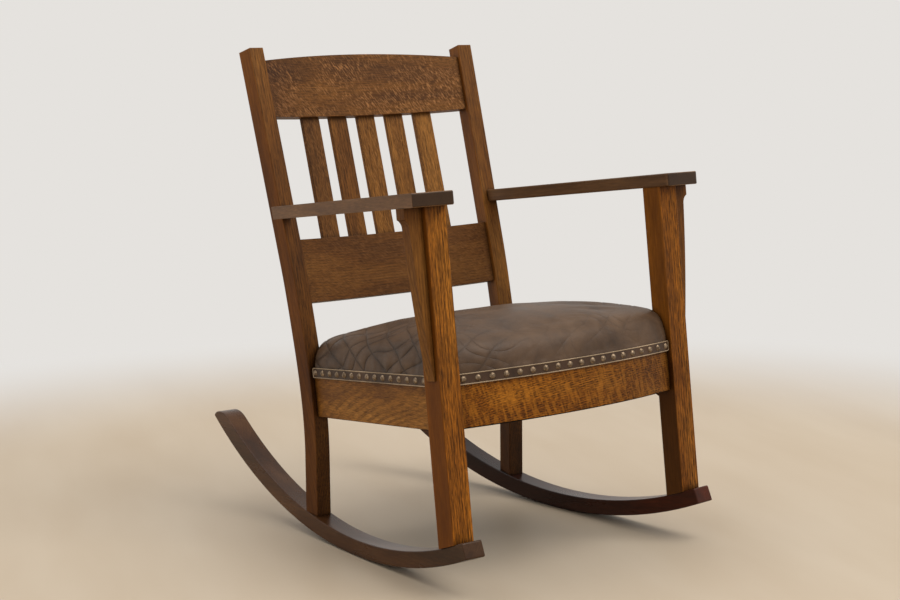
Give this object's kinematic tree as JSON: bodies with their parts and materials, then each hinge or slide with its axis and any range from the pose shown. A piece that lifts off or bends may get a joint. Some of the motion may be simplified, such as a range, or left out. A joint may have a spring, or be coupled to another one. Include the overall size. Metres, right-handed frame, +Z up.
{
  "type": "rocking chair",
  "caption": "Rocking chair with a slatted raked back, flat open arms on bracketed posts, a domed leather spring seat edged with a nailed band, and long curved rockers.",
  "frame": {"origin": "on the floor, in the middle of the chair's outline in plan, with the chair at rest", "axes": "+Z up from the floor; the sitter faces -Y, the back and the rocker tails are towards +Y; +X is on the left of someone sitting in the chair"},
  "size_m": [0.6348, 0.8696, 0.886],
  "materials": {
    "oak": "satin",
    "dark_oak": "satin",
    "plain_hardwood": "matte",
    "leather": "satin",
    "antique_brass": "satin",
    "steel": "satin",
    "jute_webbing": "matte",
    "stuffing": "matte",
    "black_cambric": "matte"
  },
  "bodies": {
    "root": {"arm_dowels": "plain_hardwood", "arm_left": "dark_oak", "arm_right": "dark_oak", "back_slat_1": "oak", "back_slat_2": "oak", "back_slat_3": "oak", "back_slat_4": "oak", "back_slat_5": "oak", "block_screws": "steel", "corbel_left": "oak", "corbel_right": "oak", "corner_block_front_left": "plain_hardwood", "corner_block_front_right": "plain_hardwood", "corner_block_rear_left": "plain_hardwood", "corner_block_rear_right": "plain_hardwood", "crest_rail": "oak", "dust_cover": "black_cambric", "front_post_left": "oak", "front_post_right": "oak", "front_seat_rail": "oak", "gimp_front": "leather", "gimp_left": "leather", "gimp_rear": "leather", "gimp_right": "leather", "knee_block_left": "plain_hardwood", "knee_block_right": "plain_hardwood", "leg_dowels": "plain_hardwood", "lower_back_rail": "oak", "nails_front": "antique_brass", "nails_left": "antique_brass", "nails_rear": "antique_brass", "nails_right": "antique_brass", "rear_post_left": "oak", "rear_post_right": "oak", "rear_seat_rail": "oak", "rocker_left": "dark_oak", "rocker_right": "dark_oak", "seat_leather": "leather", "seat_springs": "steel", "seat_stuffing": "stuffing", "side_seat_rail_left": "oak", "side_seat_rail_right": "oak", "spring_cloth": "stuffing", "webbing_cross": "jute_webbing", "webbing_long": "jute_webbing"}
  },
  "joints": []
}
